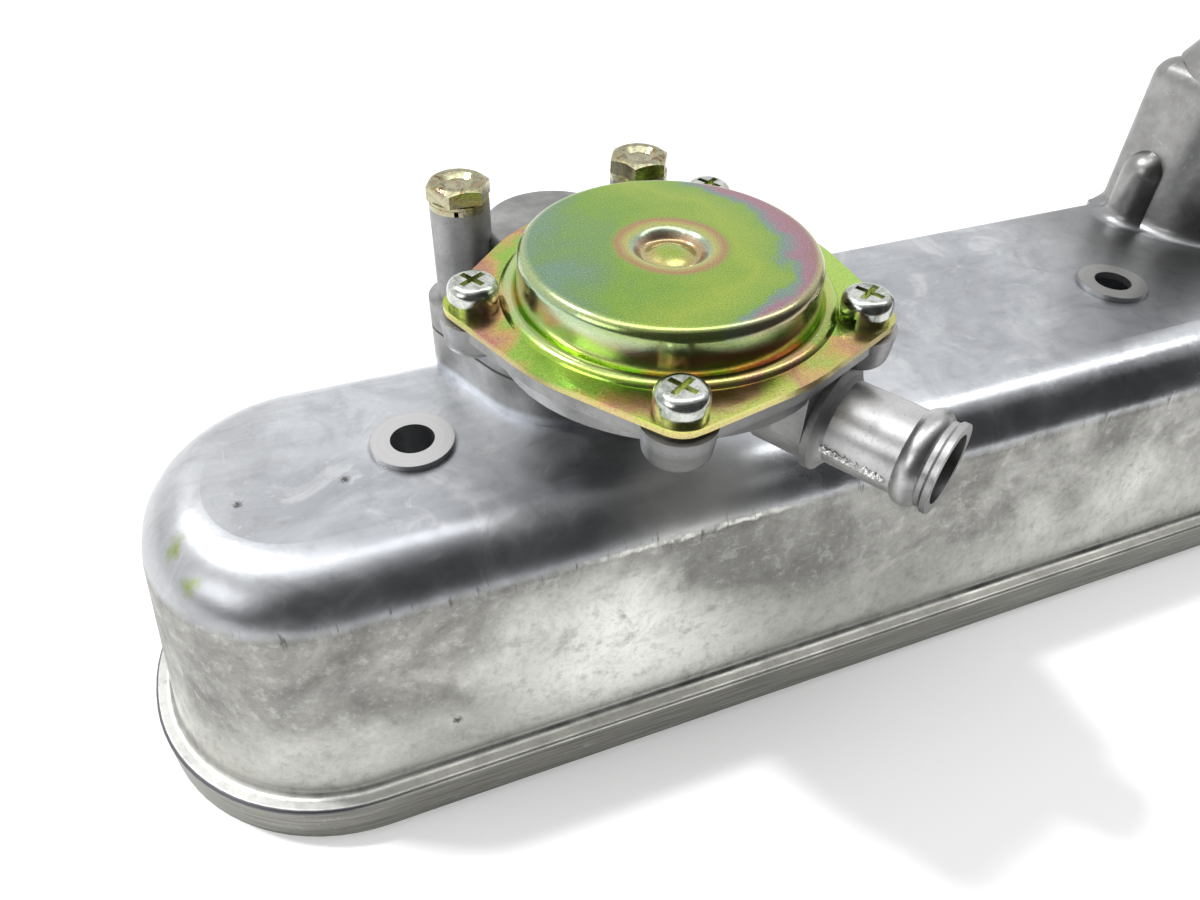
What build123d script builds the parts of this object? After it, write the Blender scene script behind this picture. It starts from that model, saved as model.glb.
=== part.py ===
from build123d import *
import math
import os

# Engine valve cover with a bolted diaphragm breather and an oil filler tower.
# Frame: X along the cover, +Y to its rear side, Z up. The origin is midway between the two
# cover bolts, on the machined seats that their heads press on.

# ---------------------------------------------------------------- cover casting
bolt_pitch = 212.0
bolt_hole_radius = 5.2
seat_radius = 9.8
seat_height = 1.5
seat_to_gasket = 75.5
gasket_z = -seat_to_gasket
roof_z = -seat_height

left_overhang = 74.0
right_overhang = 99.0
left_end = -bolt_pitch / 2 - left_overhang
right_end = bolt_pitch / 2 + right_overhang

flange_half_width = 50.0
flange_thickness = 11.5
flange_edge_radius = 1.0
flange_lip = 3.0
wall_foot_radius = 2.0
wall_thickness = 4.0
wall_draft = 7.5
shoulder_radius = 16.0
inner_shoulder_radius = 12.0
left_end_flat = 2.0
right_end_flat = 22.0
left_corner_radius = flange_half_width - left_end_flat / 2
right_corner_radius = flange_half_width - right_end_flat / 2

bolt_post_radius = 10.5
bolt_post_length = 24.0

# rear bay: the upright stretch of the rear wall, to the right of the breather
bay_left = -84.0
bay_right = 185.0
bay_front = 10.0
bay_rear = flange_half_width - flange_lip
bay_corner_radius = 14.0
bay_edge_radius = 4.0

# gasket in its groove
groove_width = 2.6
groove_depth = 3.0
gasket_recess = 0.2

# ---------------------------------------------------------------- oil filler tower
tower_left = 143.0
tower_front = 8.0
tower_top_z = 47.5
tower_rear_corner_radius = 7.0
tower_front_corner_radius = 18.0
tower_edge_radius = 6.0
tower_foot_radius = 4.0
blister_radius = 7.0
blister_reach = 6.0
blister_y = 32.5
blister_height = 14.5
neck_radius = 15.5
neck_foot_radius = 20.0
neck_foot_height = 7.0
neck_height = 14.0
lip_bore_radius = 12.5
lip_thickness = 4.0
throat_radius = 14.0
tower_x = (tower_left + bay_right) / 2
tower_y = (tower_front + bay_rear) / 2
neck_top_z = tower_top_z + neck_height

# ---------------------------------------------------------------- breather
cap_x = -51.94
cap_y = -17.84
breather_face_z = 38.6
plate_thickness = 1.6
plate_radius = 40.0
lobe_radius = 6.2
body_inset = 1.0
screw_circle_radius = 40.0
screw_angles = (168.5, 248.7, 326.0, 412.0)
cup_radius = 30.9
cup_top_z = 50.0
cup_edge_radius = 2.4
ridge_radius = 33.0
ridge_half_width = 2.0
ridge_height = 1.2
dimple_radius = 9.7
dimple_depth = 2.2
button_depth = 0.7

pedestal_x = -61.3
pedestal_lobe_radius = 9.5
pedestal_round_radius = 26.0
pedestal_round_y = 17.5
pedestal_foot_radius = 5.0
pedestal_sink = 12.0
joint_z = 10.5
joint_gasket_thickness = 0.8
joint_plate_thickness = 7.0
joint_passage_radius = 12.5
joint_passage_y = 21.0

breather_bolt_y = 28.6
breather_bolt_spacing = 45.0
bolt_boss_radius = 7.0
bolt_boss_top_z = 42.0
chamber_y = 27.6
chamber_radius = 17.0
chamber_top_z = 34.5
chamber_wall = 3.5
chamber_edge_radius = 1.5
web_thickness = 4.0
web_top_z = 33.0

flange_depth = 3.6
bowl_radius = 37.2
bowl_waist_radius = 36.2
bowl_waist_z = 29.5
bowl_knee_radius = 33.0
bowl_knee_z = 26.5
bowl_foot_radius = 18.0
bowl_wall = 3.5
bowl_floor_z = 19.0
bowl_floor_radius = 16.0
bowl_mouth_radius = 29.5
bowl_hollow_knee_radius = 28.0
bowl_hollow_knee_z = 28.5
bridge_half_width = 9.5
bowl_port_radius = 6.0
screw_boss_radius = 7.25
screw_boss_drop = 5.2
screw_boss_taper = 6.0
screw_boss_edge_radius = 2.5
counterbore_radius = 34.6
diaphragm_thickness = 1.0

# hose spigot, in a frame whose X axis is the spigot's own axis
spigot_heading = -60.0
spigot_offset = 9.4
spigot_z = 19.5
spigot_radius = 9.3
spigot_bore_radius = 7.6
spigot_root = 36.5
spigot_mouth = 63.0
collar_radius = 12.0
collar_length = 2.6
bead_to_mouth = 5.4
bead_centre = spigot_mouth - bead_to_mouth
bead_half_length = 2.6
bead_height = 1.3
lip_flare = 0.6
lip_length = 1.8
gallery_radius = 10.8
gallery_start = 24.0
housing_half_width = 12.2
housing_start = 12.0
feed_bore_radius = 5.0
feed_wall = 1.8
feed_z = 17.2

# ---------------------------------------------------------------- diaphragm valve
seat_tube_radius = 10.0
seat_tube_bore = 7.5
seat_tube_top_z = 31.4
valve_plate_radius = 18.0
valve_plate_thickness = 1.2
diaphragm_drop = 3.0
retainer_radius = 15.0
retainer_thickness = 1.2
rivet_radius = 2.5
convolution_radius = 24.0
spring_radius = 12.6
spring_wire_radius = 0.7
spring_turns = 4
spring_seat_radius = 15.0
spring_seat_z = 24.2

# ---------------------------------------------------------------- fasteners
cap_screw_radius = 3.0
cap_screw_head_radius = 5.2
cap_screw_head_height = 3.7
cap_screw_length = 9.0
cap_screw_dome_radius = 2.2
cross_slot_width = 1.3
cross_slot_length = 6.0
cross_slot_depth = 2.0
lock_washer_radius = 4.9
lock_washer_thickness = 1.4
lock_washer_gap = 1.0
clearance_hole_radius = 3.4

breather_bolt_radius = 4.0
breather_bolt_flats = 13.0
breather_bolt_head_height = 3.8
breather_bolt_flange_radius = 6.9
breather_bolt_flange_thickness = 0.7
breather_bolt_engagement = 11.0
breather_bolt_clearance = 4.5
dish_radius = 4.0
dish_depth = 1.0
bolt_washer_radius = 7.0
bolt_washer_thickness = 1.3

# ---------------------------------------------------------------- filler cap
cap_plug_clearance = 0.3
filler_cap_radius = 20.0
filler_cap_edge_radius = 1.5
filler_cap_height = 11.0
filler_cap_skirt = 2.0
filler_flutes = 12
flute_radius = 3.0
flute_depth = 1.3
filler_seal_thickness = 1.6
lug_thickness = 3.0
lug_angle = 60.0
notch_angle = 66.0
lug_clearance = 0.3
skirt_clearance = 1.3

# ---------------------------------------------------------------- oil baffle
baffle_thickness = 1.5
baffle_left = -96.0
baffle_right = -22.0
baffle_half_width = 30.0
baffle_z = -34.0
baffle_post_radius = 4.5
baffle_post_inset = 8.0
baffle_screw_radius = 2.0
baffle_screw_head_radius = 4.0
baffle_screw_head_height = 2.6
baffle_flap_height = 6.0
baffle_flap_inset = 6.0
baffle_corner_radius = 5.0
baffle_screw_clearance = 0.3
baffle_screw_length = 12.0
baffle_tapping_depth = 20.0

bolt_seats = [(-bolt_pitch / 2, 0), (bolt_pitch / 2, 0)]
breather_bolt_spots = [
    (pedestal_x - breather_bolt_spacing / 2, breather_bolt_y),
    (pedestal_x + breather_bolt_spacing / 2, breather_bolt_y),
]
screw_spots = [
    (
        cap_x + screw_circle_radius * math.cos(math.radians(a)),
        cap_y + screw_circle_radius * math.sin(math.radians(a)),
    )
    for a in screw_angles
]
baffle_post_spots = [
    (x, y)
    for x in (baffle_left + baffle_post_inset, baffle_right - baffle_post_inset)
    for y in (-baffle_half_width + baffle_post_inset, baffle_half_width - baffle_post_inset)
]


def upright(radius, bottom_z, top_z, x=0.0, y=0.0):
    """A plain round bar standing between two heights."""
    bar = extrude(Circle(radius), top_z - bottom_z)
    return Pos(x, y, bottom_z) * bar


def turned(points, x=0.0, y=0.0):
    """A solid turned about a vertical axis from a half profile of (radius, height) points."""
    profile = make_face(Plane.XZ * Polyline(*points, close=True))
    return Pos(x, y, 0) * revolve(profile, Axis.Z)


def sector(radius, heading, angle, bottom_z, top_z):
    """A wedge of a round bar about the filler neck's axis."""
    half = math.radians(angle / 2)
    reach = radius / math.cos(half)
    wedge = make_face(
        Polyline(
            (0, 0),
            (reach * math.cos(half), -reach * math.sin(half)),
            (reach * math.cos(half), reach * math.sin(half)),
            close=True,
        )
    )
    slice_plan = Circle(radius) & wedge
    return Pos(tower_x, tower_y, bottom_z) * Rot(0, 0, heading) * extrude(slice_plan, top_z - bottom_z)


def long_plan(inset):
    """The cover's outline in plan, drawn in from the flange edge by an even inset."""
    length = right_end - left_end - 2 * inset
    middle = (left_end + right_end) / 2
    plan = Pos(middle, 0) * Rectangle(length, 2 * (flange_half_width - inset))
    plan = fillet(plan.vertices().group_by(Axis.X)[0], left_corner_radius - inset)
    return fillet(plan.vertices().group_by(Axis.X)[-1], right_corner_radius - inset)


def drafted_tub(inset, top_z, edge_radius):
    """The cover's drafted main body, rounded over its shoulder."""
    tub = extrude(Pos(0, 0, gasket_z) * long_plan(inset), top_z - gasket_z, taper=wall_draft)
    return fillet(tub.faces().sort_by(Axis.Z)[-1].edges(), edge_radius)


def bay_block(inset, top_z, edge_radius):
    """The upright rear bay, from the gasket face to the roof."""
    width = bay_right - bay_left - 2 * inset
    depth = bay_rear - inset - bay_front
    plan = Pos((bay_left + bay_right) / 2, bay_front + depth / 2) * Rectangle(width, depth)
    plan = fillet(plan.vertices().group_by(Axis.Y)[-1], bay_corner_radius - inset)
    block = extrude(Pos(0, 0, gasket_z) * plan, top_z - gasket_z)
    top_edges = block.faces().sort_by(Axis.Z)[-1].edges()
    front_edge = top_edges.sort_by(Axis.Y)[0]
    return fillet([e for e in top_edges if e != front_edge], edge_radius)


def pedestal_plan():
    """The breather's joint face: a round front drawn out to two lobes round the bolts."""
    outline = Pos(pedestal_x, pedestal_round_y) * Circle(pedestal_round_radius)
    for x, y in breather_bolt_spots:
        outline += Pos(x, y) * Circle(pedestal_lobe_radius)
    return make_hull(outline.edges())


def flared_foot(plan, radius, depth):
    """The foot of an upright block: a hollow fillet down to the roof and a root below it."""
    bottom = roof_z - depth
    foot = extrude(Pos(0, 0, bottom) * offset(plan, 2 * radius), depth)
    foot += extrude(Pos(0, 0, bottom) * plan, depth + 2 * radius)
    land = foot.faces().filter_by_position(Axis.Z, roof_z - 0.01, roof_z + 0.01)[0]
    foot = fillet(land.inner_wires()[0].edges(), radius)
    return foot & extrude(Pos(0, 0, bottom) * offset(plan, radius - 0.05), depth + 2 * radius)


def pedestal_block():
    """The raised pedestal, rooted far enough down to meet the falling shoulder behind it."""
    plan = pedestal_plan()
    bottom = roof_z - pedestal_sink
    top = joint_z - joint_gasket_thickness / 2
    block = extrude(Pos(0, 0, bottom) * plan, top - bottom)
    return block + flared_foot(plan, pedestal_foot_radius, pedestal_sink)


def tower_plan():
    """The tower from above: a rounded front, and its right side flush with the bay below."""
    plan = Pos(tower_x, tower_y) * Rectangle(bay_right - tower_left, bay_rear - tower_front)
    plan = fillet(plan.vertices().group_by(Axis.Y)[0], tower_front_corner_radius)
    plan = fillet(plan.vertices().group_by(Axis.Y)[-1].sort_by(Axis.X)[0], tower_rear_corner_radius)
    return fillet(plan.vertices().group_by(Axis.Y)[-1].sort_by(Axis.X)[-1], bay_corner_radius)


def tower_block():
    """The oil filler tower with a small domed rib on its left face and a soft top."""
    plan = tower_plan()
    bottom = roof_z - shoulder_radius
    tower = extrude(Pos(0, 0, bottom) * plan, tower_top_z - bottom)
    tower = fillet(tower.faces().sort_by(Axis.Z)[-1].edges(), tower_edge_radius)
    rib_x = tower_left - blister_reach + blister_radius
    tower += upright(blister_radius, bottom, blister_height, rib_x, blister_y)
    tower += Pos(rib_x, blister_y, blister_height) * Sphere(blister_radius)
    rib_plan = plan + Pos(rib_x, blister_y) * Circle(blister_radius)
    foot = flared_foot(rib_plan, tower_foot_radius, shoulder_radius)
    wall_outline = Pos(bay_right, 0) * Rectangle(bay_right, 2 * bay_rear, align=(Align.MAX, Align.CENTER))
    wall_outline &= long_plan(flange_lip)
    return tower + (foot & extrude(Pos(0, 0, bottom) * wall_outline, tower_top_z))


def filler_neck():
    """The neck, spreading at its foot into the tower's top."""
    profile = [
        (0, tower_top_z - tower_edge_radius),
        (neck_foot_radius, tower_top_z - tower_edge_radius),
        (neck_foot_radius, tower_top_z),
        (neck_radius, tower_top_z + neck_foot_height),
        (neck_radius, neck_top_z),
        (0, neck_top_z),
    ]
    return turned(profile, tower_x, tower_y)


def groove_ring(depth):
    """The gasket's own run, following the flange midway between its edges."""
    middle = (wall_thickness + flange_lip) / 2
    outer = long_plan(middle - groove_width / 2)
    inner = long_plan(middle + groove_width / 2)
    return extrude(Pos(0, 0, gasket_z) * (outer - inner), depth)


def cover_outside():
    flange_top = gasket_z + flange_thickness
    flange = extrude(Pos(0, 0, gasket_z) * long_plan(0), flange_thickness)
    flange = fillet(flange.faces().sort_by(Axis.Z)[-1].edges(), flange_edge_radius)
    outside = drafted_tub(flange_lip, roof_z, shoulder_radius) + flange
    land = outside.faces().filter_by_position(Axis.Z, flange_top - 0.01, flange_top + 0.01)[0]
    outside = fillet(land.inner_wires()[0].edges(), wall_foot_radius)
    outside += bay_block(0, roof_z, bay_edge_radius)
    outside += pedestal_block()
    outside += tower_block()
    outside += filler_neck()
    for x, y in bolt_seats:
        outside += upright(seat_radius, roof_z - 1, 0, x, y)
    return outside


def cover_inside():
    inner_top = roof_z - wall_thickness
    inside = drafted_tub(flange_lip + wall_thickness, inner_top, inner_shoulder_radius)
    inside += bay_block(wall_thickness, inner_top, bay_edge_radius)
    return inside


def rocker_cover():
    cover = cover_outside() - cover_inside()
    inner_top = roof_z - wall_thickness
    for x, y in bolt_seats:
        cover += upright(bolt_post_radius, -bolt_post_length, inner_top + 1, x, y)
        cover -= upright(bolt_hole_radius, -bolt_post_length, 0, x, y)
    for x, y in baffle_post_spots:
        cover += upright(baffle_post_radius, baffle_z + baffle_thickness, inner_top + 1, x, y)
        cover -= upright(baffle_screw_radius, baffle_z + baffle_thickness, baffle_z + baffle_tapping_depth, x, y)
    pedestal_top = joint_z - joint_gasket_thickness / 2
    cover -= upright(joint_passage_radius, inner_top - 1, pedestal_top, pedestal_x, joint_passage_y)
    for x, y in breather_bolt_spots:
        hole_bottom = pedestal_top - breather_bolt_engagement - 1
        cover -= upright(breather_bolt_radius, hole_bottom, pedestal_top, x, y)
    cover -= upright(throat_radius, inner_top - 1, neck_top_z - lip_thickness, tower_x, tower_y)
    cover -= upright(lip_bore_radius, inner_top - 1, neck_top_z, tower_x, tower_y)
    for heading in (90, 270):
        cover -= sector(throat_radius, heading, notch_angle, neck_top_z - lip_thickness, neck_top_z)
    cover -= groove_ring(groove_depth)
    return cover


def cover_gasket():
    """Moulded rubber cord that lies in the flange groove."""
    return groove_ring(groove_depth) - groove_ring(gasket_recess)


def baffle_plate():
    """Sheet that keeps splashed oil out of the breather passage."""
    middle = (baffle_left + baffle_right) / 2
    plan = Pos(middle, 0) * RectangleRounded(baffle_right - baffle_left, 2 * baffle_half_width, baffle_corner_radius)
    plate = extrude(Pos(0, 0, baffle_z) * plan, baffle_thickness)
    flap = Box(baffle_thickness, 2 * (baffle_half_width - baffle_flap_inset), baffle_flap_height)
    for x in (baffle_left + baffle_thickness / 2, baffle_right - baffle_thickness / 2):
        plate += Pos(x, 0, baffle_z - baffle_flap_height / 2) * flap
    for x, y in baffle_post_spots:
        plate -= upright(baffle_screw_radius + baffle_screw_clearance, baffle_z, baffle_z + baffle_thickness, x, y)
    return plate


def baffle_screws():
    """The four short screws that hold the baffle to the roof posts."""
    screws = []
    for x, y in baffle_post_spots:
        head = upright(baffle_screw_head_radius, baffle_z - baffle_screw_head_height, baffle_z, x, y)
        head = fillet(head.faces().sort_by(Axis.Z)[0].edges(), 1.0)
        shank = upright(baffle_screw_radius, baffle_z, baffle_z + baffle_screw_length, x, y)
        screws.append(head + shank)
    return Compound(children=screws)


def breather_gasket():
    """Paper gasket of the pedestal joint."""
    bottom = joint_z - joint_gasket_thickness / 2
    gasket = extrude(Pos(0, 0, bottom) * pedestal_plan(), joint_gasket_thickness)
    top = joint_z + joint_gasket_thickness / 2
    gasket -= upright(joint_passage_radius, bottom, top, pedestal_x, joint_passage_y)
    for x, y in breather_bolt_spots:
        gasket -= upright(breather_bolt_clearance, bottom, top, x, y)
    return gasket


def plate_outline(inset=0.0):
    """The cap plate in plan: a disc with a rounded lobe at each screw, joined by tangents."""
    rings = [Pos(cap_x, cap_y) * Circle(plate_radius - inset)]
    rings += [Pos(x, y) * Circle(lobe_radius - inset) for x, y in screw_spots]
    return make_hull([edge for ring in rings for edge in ring.edges()])


def along_spigot(solid):
    """Places a solid drawn about X = 0 on the spigot's own axis."""
    heading = math.radians(spigot_heading)
    x = cap_x - spigot_offset * math.sin(heading)
    y = cap_y + spigot_offset * math.cos(heading)
    return Pos(x, y, spigot_z) * Rot(0, 0, spigot_heading) * solid


def lying(radius, start, end, z=0.0):
    """A round bar lying along X between two stations."""
    return Pos(start, 0, z) * Rot(0, 90, 0) * extrude(Circle(radius), end - start)


def spigot():
    """The hose spigot: gallery, collar, tube, rolled bead and lip, turned in one profile."""
    collar_end = spigot_root + collar_length
    bead_start = bead_centre - bead_half_length
    bead_end = bead_centre + bead_half_length
    lip_start = spigot_mouth - lip_length
    with BuildPart() as tube:
        with BuildSketch():
            with BuildLine():
                Polyline(
                    (gallery_start, 0),
                    (gallery_start, gallery_radius),
                    (spigot_root, gallery_radius),
                    (spigot_root, collar_radius),
                    (collar_end - 1.0, collar_radius),
                    (collar_end, spigot_radius + 1.0),
                    (collar_end + 1.0, spigot_radius),
                    (bead_start, spigot_radius),
                )
                ThreePointArc(
                    (bead_start, spigot_radius),
                    (bead_centre, spigot_radius + bead_height),
                    (bead_end, spigot_radius),
                )
                Polyline(
                    (bead_end, spigot_radius),
                    (lip_start, spigot_radius),
                    (lip_start + lip_length / 3, spigot_radius + lip_flare),
                    (spigot_mouth, spigot_radius + lip_flare),
                    (spigot_mouth, 0),
                    (gallery_start, 0),
                )
            make_face()
        revolve(axis=Axis.X)
    return along_spigot(tube.part)


def breather_shell():
    """The casting's outer form, before its hollows."""
    face = breather_face_z
    flange_bottom = face - flange_depth
    joint_top = joint_z + joint_gasket_thickness / 2
    bowl_bottom = bowl_floor_z - bowl_wall
    shell = extrude(Pos(0, 0, flange_bottom) * plate_outline(body_inset), flange_depth)
    bowl_profile = [
        (0, bowl_bottom),
        (bowl_foot_radius, bowl_bottom),
        (bowl_knee_radius, bowl_knee_z),
        (bowl_waist_radius, bowl_waist_z),
        (bowl_radius, flange_bottom),
        (0, flange_bottom),
    ]
    shell += turned(bowl_profile, cap_x, cap_y)
    shell += extrude(Pos(0, 0, joint_top) * pedestal_plan(), joint_plate_thickness)
    chamber = upright(chamber_radius, joint_top, chamber_top_z, pedestal_x, chamber_y)
    shell += fillet(chamber.faces().sort_by(Axis.Z)[-1].edges(), chamber_edge_radius)
    for x, y in breather_bolt_spots:
        shell += upright(bolt_boss_radius, joint_top, bolt_boss_top_z, x, y)
    web_height = web_top_z - joint_top
    web = Box(breather_bolt_spacing, web_thickness, web_height)
    shell += Pos(pedestal_x, breather_bolt_y, joint_top + web_height / 2) * web
    bridge_height = bowl_knee_z + bowl_port_radius - joint_top
    bridge = Box(2 * bridge_half_width, chamber_y - cap_y - bowl_foot_radius, bridge_height)
    bridge_y = (chamber_y + cap_y + bowl_foot_radius) / 2
    shell += Pos((cap_x + pedestal_x) / 2, bridge_y, joint_top + bridge_height / 2) * bridge
    for x, y in screw_spots:
        top = face - 1
        bottom = flange_bottom - screw_boss_drop
        boss = extrude(Circle(screw_boss_radius), bottom - top, taper=screw_boss_taper)
        shell += Pos(x, y, top) * fillet(boss.faces().sort_by(Axis.Z)[0].edges(), screw_boss_edge_radius)
    return shell


def breather_body():
    """The breather casting: bowl, rear chamber, bolt bosses, spigot and valve seat."""
    face = breather_face_z
    joint_top = joint_z + joint_gasket_thickness / 2
    body = breather_shell()

    bowl_hollow = [
        (0, bowl_floor_z),
        (bowl_floor_radius, bowl_floor_z),
        (bowl_hollow_knee_radius, bowl_hollow_knee_z),
        (bowl_mouth_radius, face),
        (0, face),
    ]
    body -= turned(bowl_hollow, cap_x, cap_y)
    body -= upright(counterbore_radius, face - diaphragm_thickness, face, cap_x, cap_y)

    housing_length = spigot_root - housing_start
    housing_height = face - flange_depth - spigot_z
    housing = Box(housing_length, 2 * housing_half_width, housing_height)
    housing = Pos(housing_start + housing_length / 2, 0, housing_height / 2) * housing
    bowl_clearance = upright(bowl_mouth_radius, bowl_floor_z, face, cap_x, cap_y)
    body += along_spigot(housing) - bowl_clearance
    body += spigot() - bowl_clearance

    chamber_roof = chamber_top_z - chamber_wall
    body -= upright(chamber_radius - chamber_wall, joint_top, chamber_roof, pedestal_x, chamber_y)
    body -= upright(joint_passage_radius, joint_top, joint_top + joint_plate_thickness, pedestal_x, joint_passage_y)
    port_z = (bowl_floor_z + chamber_roof) / 2
    port_length = chamber_y - cap_y
    port = Rot(-90, 0, 0) * extrude(Circle(bowl_port_radius), port_length * 0.6)
    body -= Pos((cap_x + pedestal_x) / 2, cap_y + port_length * 0.3, port_z) * port

    feed_outside = along_spigot(lying(feed_bore_radius + feed_wall, -2, gallery_start + 4, feed_z - spigot_z))
    body += feed_outside
    body += upright(spring_seat_radius, bowl_floor_z - 1, spring_seat_z, cap_x, cap_y)
    body += upright(seat_tube_radius, spring_seat_z - 1, seat_tube_top_z, cap_x, cap_y)
    body -= upright(seat_tube_bore, feed_z, seat_tube_top_z, cap_x, cap_y)
    body -= along_spigot(lying(feed_bore_radius, -2, gallery_start + 4, feed_z - spigot_z))
    body -= along_spigot(lying(spigot_bore_radius, gallery_start + 3, spigot_mouth))

    for x, y in screw_spots:
        body -= upright(cap_screw_radius, face - cap_screw_length + 2, face, x, y)
    for x, y in breather_bolt_spots:
        body -= upright(breather_bolt_clearance, joint_top, bolt_boss_top_z, x, y)
    return body


def diaphragm():
    """Rubber diaphragm: clamped rim, one rolling convolution and a flat centre."""
    top = breather_face_z
    bottom = top - diaphragm_thickness
    centre_bottom = bottom - diaphragm_drop
    half_profile = [
        (rivet_radius, centre_bottom),
        (valve_plate_radius + 1.5, centre_bottom),
        (convolution_radius, centre_bottom - 1.5),
        (bowl_mouth_radius - 1.5, bottom),
        (counterbore_radius, bottom),
        (counterbore_radius, top),
        (bowl_mouth_radius - 1.5, top),
        (convolution_radius, centre_bottom - 0.4),
        (valve_plate_radius + 1.5, centre_bottom + diaphragm_thickness),
        (rivet_radius, centre_bottom + diaphragm_thickness),
    ]
    return turned(half_profile, cap_x, cap_y)


def valve_plate():
    """The stiff centre: top plate, spring retainer below and the rivet through both."""
    membrane_bottom = breather_face_z - diaphragm_thickness - diaphragm_drop
    membrane_top = membrane_bottom + diaphragm_thickness
    plate_top = membrane_top + valve_plate_thickness
    retainer_bottom = membrane_bottom - retainer_thickness
    half_profile = [
        (0, retainer_bottom),
        (retainer_radius, retainer_bottom),
        (retainer_radius, membrane_bottom),
        (rivet_radius, membrane_bottom),
        (rivet_radius, membrane_top),
        (valve_plate_radius, membrane_top),
        (valve_plate_radius, plate_top),
        (rivet_radius + 1, plate_top),
        (rivet_radius, plate_top + 1),
        (0, plate_top + 1),
    ]
    return turned(half_profile, cap_x, cap_y)


def diaphragm_spring():
    """Compression spring round the seat tube, under the retainer."""
    retainer_bottom = breather_face_z - diaphragm_thickness - diaphragm_drop - retainer_thickness
    height = retainer_bottom - spring_seat_z - 2 * spring_wire_radius
    coil = Helix(height / spring_turns, height, spring_radius)
    wire = Plane(origin=coil @ 0, z_dir=coil % 0) * Circle(spring_wire_radius)
    spring = sweep(wire, path=coil, is_frenet=True)
    return Pos(cap_x, cap_y, spring_seat_z + spring_wire_radius) * spring


def cup_form(wall_radius, bottom_z, top_z, edge_radius):
    """The raised cup with its rounded rim and the dimple with a button in the top."""
    foot_radius = wall_radius + 0.6
    corner = edge_radius * math.sqrt(0.5)
    with BuildPart() as cup:
        with BuildSketch(Plane.XZ):
            with BuildLine():
                Line((0, bottom_z), (foot_radius, bottom_z))
                Line((foot_radius, bottom_z), (wall_radius, top_z - edge_radius))
                ThreePointArc(
                    (wall_radius, top_z - edge_radius),
                    (wall_radius - edge_radius + corner, top_z - edge_radius + corner),
                    (wall_radius - edge_radius, top_z),
                )
                Line((wall_radius - edge_radius, top_z), (dimple_radius, top_z))
                Spline(
                    (dimple_radius, top_z),
                    (dimple_radius * 0.62, top_z - dimple_depth),
                    (0, top_z - button_depth),
                    tangents=((-1, 0), (-1, 0)),
                )
                Line((0, top_z - button_depth), (0, bottom_z))
            make_face()
        revolve(axis=Axis.Z)
    return Pos(cap_x, cap_y, 0) * cup.part


def ridge_form(top_z):
    """The pressed ridge that runs round the foot of the cup."""
    with BuildPart() as ridge:
        with BuildSketch(Plane.XZ):
            with BuildLine():
                inner = (ridge_radius - ridge_half_width, top_z)
                outer = (ridge_radius + ridge_half_width, top_z)
                ThreePointArc(inner, (ridge_radius, top_z + ridge_height), outer)
                Polyline(outer, (outer[0], top_z - 0.5), (inner[0], top_z - 0.5), inner)
            make_face()
        revolve(axis=Axis.Z)
    return Pos(cap_x, cap_y, 0) * ridge.part


def breather_cap():
    """Pressed steel cap that clamps the diaphragm's rim."""
    face = breather_face_z
    plate_top = face + plate_thickness
    cap = extrude(Pos(0, 0, face) * plate_outline(), plate_thickness)
    cap += ridge_form(plate_top)
    cap += cup_form(cup_radius, face, cup_top_z, cup_edge_radius)
    inner_radius = cup_radius - plate_thickness
    inner_top = cup_top_z - plate_thickness
    cap -= cup_form(inner_radius, face, inner_top, cup_edge_radius - 1)
    for x, y in screw_spots:
        cap -= upright(clearance_hole_radius, face, plate_top, x, y)
    return cap


def cap_screw(x, y):
    """Pan-head screw with a cross recess."""
    seat = breather_face_z + plate_thickness + lock_washer_thickness
    top = seat + cap_screw_head_height
    head = upright(cap_screw_head_radius, seat, top, x, y)
    head = fillet(head.faces().sort_by(Axis.Z)[-1].edges(), cap_screw_dome_radius)
    slot = Box(cross_slot_length, cross_slot_width, cross_slot_depth)
    for turn in (30, 120):
        head -= Pos(x, y, top - cross_slot_depth / 2) * Rot(0, 0, turn) * slot
    return head + upright(cap_screw_radius, seat - cap_screw_length, seat, x, y)


def split_washer(outer_radius, bore_radius, thickness, bottom_z, x, y, heading):
    """A spring washer with its gap."""
    top_z = bottom_z + thickness
    ring = upright(outer_radius, bottom_z, top_z, x, y) - upright(bore_radius, bottom_z, top_z, x, y)
    gap = Rot(0, 0, heading) * Pos(outer_radius / 2 + 1, 0, 0) * Box(outer_radius + 2, lock_washer_gap, 2 * thickness)
    return ring - Pos(x, y, bottom_z + thickness / 2) * gap


def breather_bolt(x, y):
    """Flanged hexagon bolt with a dished head."""
    seat = bolt_boss_top_z + bolt_washer_thickness
    flange_top = seat + breather_bolt_flange_thickness
    head_top = flange_top + breather_bolt_head_height
    joint_bottom = joint_z - joint_gasket_thickness / 2
    bolt = upright(breather_bolt_radius, joint_bottom - breather_bolt_engagement, seat, x, y)
    bolt += upright(breather_bolt_flange_radius, seat, flange_top, x, y)
    hexagon = RegularPolygon(breather_bolt_flats / 2, 6, major_radius=False)
    prism = extrude(hexagon, breather_bolt_head_height)
    corner_radius = breather_bolt_flats / math.sqrt(3)
    crown_profile = [
        (0, 0),
        (corner_radius + 0.1, 0),
        (corner_radius + 0.1, breather_bolt_head_height - 0.9),
        (breather_bolt_flats / 2 - 0.5, breather_bolt_head_height),
        (0, breather_bolt_head_height),
    ]
    prism = prism & turned(crown_profile)
    dish_profile = [
        (0, breather_bolt_head_height - dish_depth),
        (dish_radius - 1, breather_bolt_head_height - dish_depth),
        (dish_radius + 0.4, breather_bolt_head_height),
        (0, breather_bolt_head_height),
    ]
    prism -= turned(dish_profile)
    return bolt + Pos(x, y, flange_top) * prism


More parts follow.
